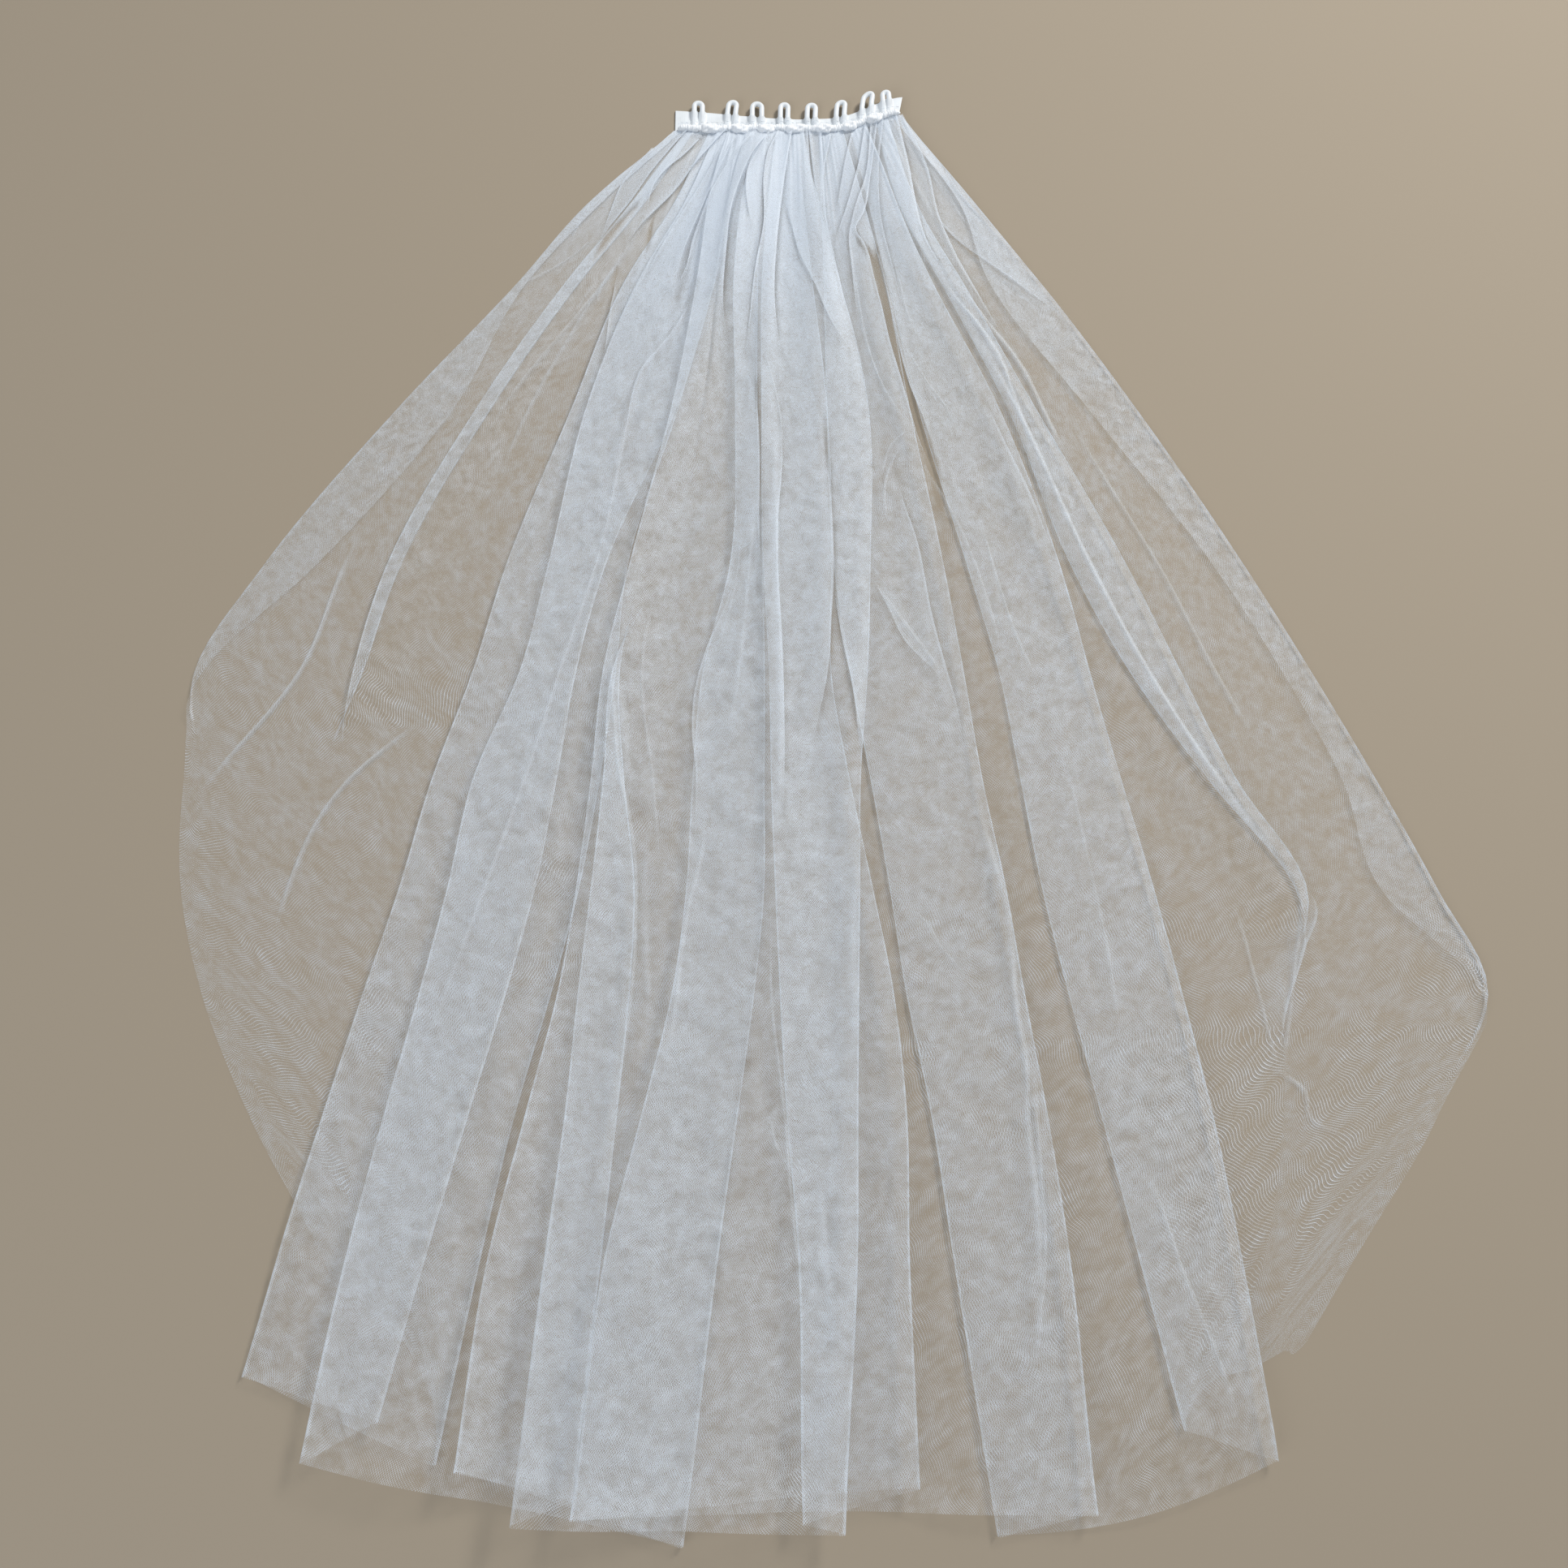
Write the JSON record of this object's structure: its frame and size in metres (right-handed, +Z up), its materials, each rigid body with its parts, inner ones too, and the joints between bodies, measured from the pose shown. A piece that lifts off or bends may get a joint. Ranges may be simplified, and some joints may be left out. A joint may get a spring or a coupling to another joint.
{
  "type": "bridal veil",
  "caption": "Gathered white tulle bridal veil laid flat in soft folds, on a narrow satin tape with cord button loops.",
  "frame": {"origin": "middle of the veil's box on the surface that it lies on", "axes": "+Y from the hem to the gathered tape, +X to the right as seen from above with the tape at the far end, +Z up from the table"},
  "size_m": [0.5912, 0.6934, 0.0248],
  "materials": {
    "net_white": "sheer matt net",
    "tape_white": "satin",
    "roll_white": "gathered net and thread",
    "cord_white": "satin cord"
  },
  "bodies": {
    "root": {"net": "net_white", "tape": "tape_white", "gathered_roll": "roll_white", "loop_1": "cord_white", "loop_2": "cord_white", "loop_3": "cord_white", "loop_4": "cord_white", "loop_5": "cord_white", "loop_6": "cord_white", "loop_7": "cord_white", "loop_8": "cord_white"}
  },
  "joints": []
}
